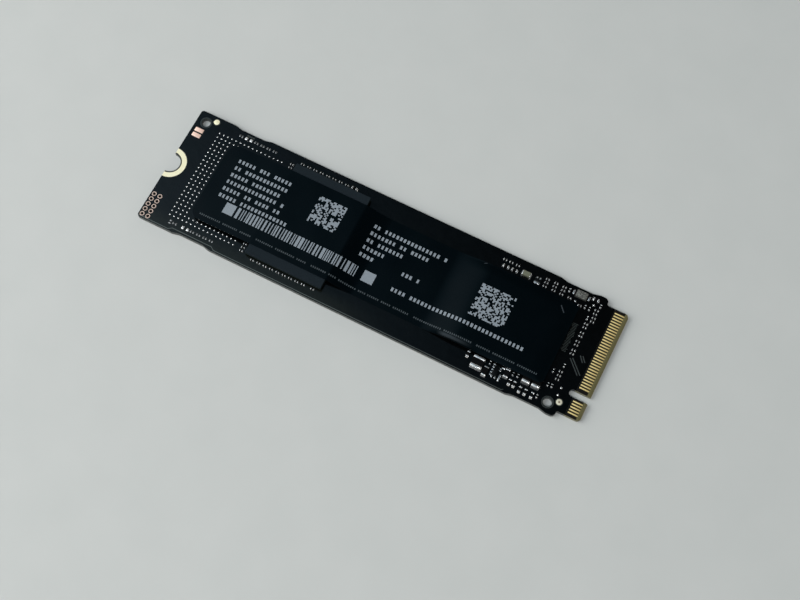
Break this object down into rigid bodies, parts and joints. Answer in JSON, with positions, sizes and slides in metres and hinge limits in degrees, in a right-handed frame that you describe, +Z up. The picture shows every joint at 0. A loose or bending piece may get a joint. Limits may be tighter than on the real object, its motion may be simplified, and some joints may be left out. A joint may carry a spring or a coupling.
{
  "type": "nvme solid state drive",
  "caption": "Single-sided M.2 solid state drive: a long black card with edge contacts, a keyed tongue, a screw notch, flash and controller packages and a blank label.",
  "frame": {"origin": "centre of the card's lower face, in the middle of its length and width", "axes": "+X along the card towards the edge connector, +Y towards the long edge where the contact row starts, +Z up out of the component side"},
  "size_m": [0.08, 0.022, 0.002],
  "materials": {
    "solder_mask": "satin black solder mask over glass-epoxy laminate",
    "gold_plating": "thin gold over nickel, satin",
    "bare_copper": "bare copper with a pale organic film, satin",
    "tin": "bright reflowed tin solder",
    "package_substrate": "dark green laminate, satin",
    "mould_compound": "dark grey epoxy moulding compound, fine matt",
    "label_film": "glossy navy-black printed film",
    "dark_ceramic": "dark fired ceramic, satin",
    "tan_ceramic": "tan fired ceramic, matt",
    "grey_ceramic": "grey ceramic, matt",
    "ferrite": "dark moulded ferrite, matt",
    "crystal_can": "dull nickel-plated lid"
  },
  "bodies": {
    "root": {"circuit_board": "solder_mask", "screw_notch_lands": "gold_plating", "edge_contacts_upper_main": "gold_plating", "edge_contacts_upper_tab": "gold_plating", "edge_contacts_lower_main": "gold_plating", "edge_contacts_lower_tab": "gold_plating", "fiducial_marks": "gold_plating", "jumper_lands": "bare_copper", "test_point_rings": "bare_copper", "empty_site_pads": "tin", "empty_chip_lands": "tin", "power_lands": "tin", "probe_points": "tin", "flash_solder_balls": "tin", "flash_substrate": "package_substrate", "flash_mould": "mould_compound", "controller_solder_balls": "tin", "controller_substrate": "package_substrate", "controller_mould": "mould_compound", "label_film": "label_film", "flash_chip_bodies": "dark_ceramic", "flash_chip_ends": "tin", "lane_capacitor_bodies": "dark_ceramic", "lane_capacitor_ends": "tin", "control_chip_bodies": "dark_ceramic", "control_chip_ends": "tin", "small_chip_bodies": "dark_ceramic", "small_chip_ends": "tin", "small_chip_solder": "tin", "sense_resistor_body": "dark_ceramic", "ceramic_capacitor_body": "tan_ceramic", "medium_chip_ends": "tin", "bulk_capacitor_bodies": "dark_ceramic", "bulk_capacitor_ends": "tin", "inductor_body": "ferrite", "inductor_ends": "tin", "choke_body": "ferrite", "choke_ends": "tin", "converter_chip": "mould_compound", "converter_leads": "tin", "switch_chip": "mould_compound", "switch_leads": "tin", "crystal_base": "grey_ceramic", "crystal_lid": "crystal_can", "crystal_lands": "tin"}
  },
  "joints": []
}
